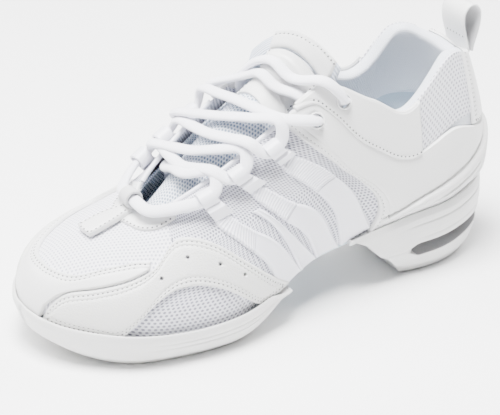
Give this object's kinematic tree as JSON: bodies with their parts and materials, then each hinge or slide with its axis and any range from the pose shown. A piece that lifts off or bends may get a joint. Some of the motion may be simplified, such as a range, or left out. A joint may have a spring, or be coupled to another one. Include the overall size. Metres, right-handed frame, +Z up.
{
  "type": "dance and cheer trainer",
  "caption": "White split-sole lace-up dance and cheer trainer with a mesh and leather upper, padded collar and tongue, fan straps to the lace loops, an open arch and a thick slotted heel.",
  "frame": {"origin": "middle of the shoe's outline, on the plane its soles stand on", "axes": "+Y towards the heel (toe at -Y), +X towards the outer (lateral) side, +Z up"},
  "size_m": [0.1028, 0.267, 0.1357],
  "materials": {
    "mesh": "open hexagon-hole polyester mesh, satin",
    "lining": "pale grey-blue knit lining, matte",
    "collar_fabric": "pale padded lining fabric, matte",
    "grained_leather": "fine grained white leather, satin",
    "smooth_leather": "smooth white leather, satin",
    "webbing": "cross-ribbed webbing fused with a smooth film, satin",
    "moulded_film": "moulded white film, satin",
    "stiffener": "thermoplastic sheet, matte",
    "hard_trim": "moulded white plastic, satin",
    "sole_body": "moulded white polyurethane, satin gloss",
    "outsole_rubber": "white rubber with small treads, matte",
    "board": "fibre insole board, matte",
    "lace": "woven white lace, matte"
  },
  "bodies": {
    "rearfoot": {"heel_outsole": "outsole_rubber", "heel_midsole": "sole_body", "heel_cup": "sole_body", "heel_board": "board", "heel_counter": "stiffener", "heel_lining": "lining", "lateral_quarter": "smooth_leather", "medial_quarter": "smooth_leather", "lateral_eyestay": "smooth_leather", "medial_eyestay": "smooth_leather", "lateral_eyelet_1": "hard_trim", "medial_eyelet_1": "hard_trim", "lateral_eyelet_2": "hard_trim", "medial_eyelet_2": "hard_trim", "lateral_collar_mesh": "mesh", "medial_collar_mesh": "mesh", "heel_tab": "smooth_leather", "lateral_collar_pad": "collar_fabric", "medial_collar_pad": "collar_fabric", "lace_tip_2": "hard_trim"},
    "forefoot": {"arch_sling": "mesh", "forefoot_board": "board", "forefoot_midsole": "sole_body", "forefoot_outsole": "outsole_rubber", "lace_tab": "smooth_leather", "lace_tip_1": "hard_trim", "lateral_lace_loop_1": "moulded_film", "lateral_lace_loop_2": "moulded_film", "lateral_lace_loop_3": "moulded_film", "lateral_overlay": "grained_leather", "lateral_side_lining": "lining", "lateral_side_mesh": "mesh", "lateral_strap_brace": "moulded_film", "lateral_strap_front": "webbing", "lateral_strap_middle": "webbing", "lateral_strap_rear": "webbing", "medial_lace_loop_1": "moulded_film", "medial_lace_loop_2": "moulded_film", "medial_lace_loop_3": "moulded_film", "medial_overlay": "grained_leather", "medial_side_lining": "lining", "medial_side_mesh": "mesh", "medial_strap_brace": "moulded_film", "medial_strap_front": "webbing", "medial_strap_middle": "webbing", "medial_strap_rear": "webbing", "shoelace": "lace", "sockliner": "lining", "throat_trim": "smooth_leather", "toe_cap": "smooth_leather", "toe_puff": "stiffener", "tongue_pad": "mesh", "vamp_lining": "lining", "vamp_mesh": "mesh"},
    "tongue_top": {"tongue_flap": "mesh", "tongue_patch": "smooth_leather"},
    "heel_loop": {"pull_loop": "smooth_leather"}
  },
  "joints": [
    {"name": "arch_flex", "type": "hinge", "parent": "rearfoot", "child": "forefoot", "pos_m": [0, 0.01225, 0.025], "axis": [1, 0, 0], "range_deg": [0, 20], "stiffness_Nm_per_rad": 0.4, "deforming": ["shoelace", "sockliner", "arch_sling", "tongue_pad"]},
    {"name": "tongue_fold", "type": "hinge", "parent": "rearfoot", "child": "tongue_top", "pos_m": [-0.00457, 0.01615, 0.1257], "axis": [1, 0, 0], "range_deg": [0, 30], "stiffness_Nm_per_rad": 0.02},
    {"name": "pull_loop_tilt", "type": "hinge", "parent": "rearfoot", "child": "heel_loop", "pos_m": [-0.00157, 0.12025, 0.1112], "axis": [1, 0, 0], "range_deg": [-30, 20]}
  ]
}
